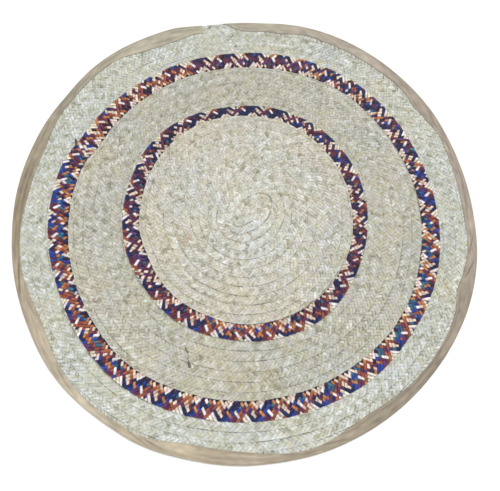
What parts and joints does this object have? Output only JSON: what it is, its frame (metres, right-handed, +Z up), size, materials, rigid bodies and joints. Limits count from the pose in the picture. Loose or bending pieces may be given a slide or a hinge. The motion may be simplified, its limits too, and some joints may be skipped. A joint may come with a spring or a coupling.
{
  "type": "round plaited palm leaf mat",
  "caption": "Round flat mat of plaited palm leaf sewn in a spiral, with multicoloured dyed rings and a cloth binding folded over its edge.",
  "frame": {"origin": "centre of the mat's outline box, on the surface that it lies on", "axes": "+Z up, square to the mat; +Y to the side away from the viewer of the picture, where the binding's two ends are"},
  "size_m": [0.8406, 0.8464, 0.004],
  "materials": {
    "palm_leaf": "dry split palm leaf, plaited, undyed",
    "dyed_palm_leaf": "split palm leaf dyed rust, maroon, blue and navy, plaited with undyed strands",
    "binding_cloth": "plain woven tan cotton, creased, matt"
  },
  "bodies": {
    "root": {"centre_coil": "palm_leaf", "inner_dyed_plait": "dyed_palm_leaf", "middle_coil": "palm_leaf", "outer_dyed_plait": "dyed_palm_leaf", "outer_coil": "palm_leaf", "edge_binding": "binding_cloth"}
  },
  "joints": []
}
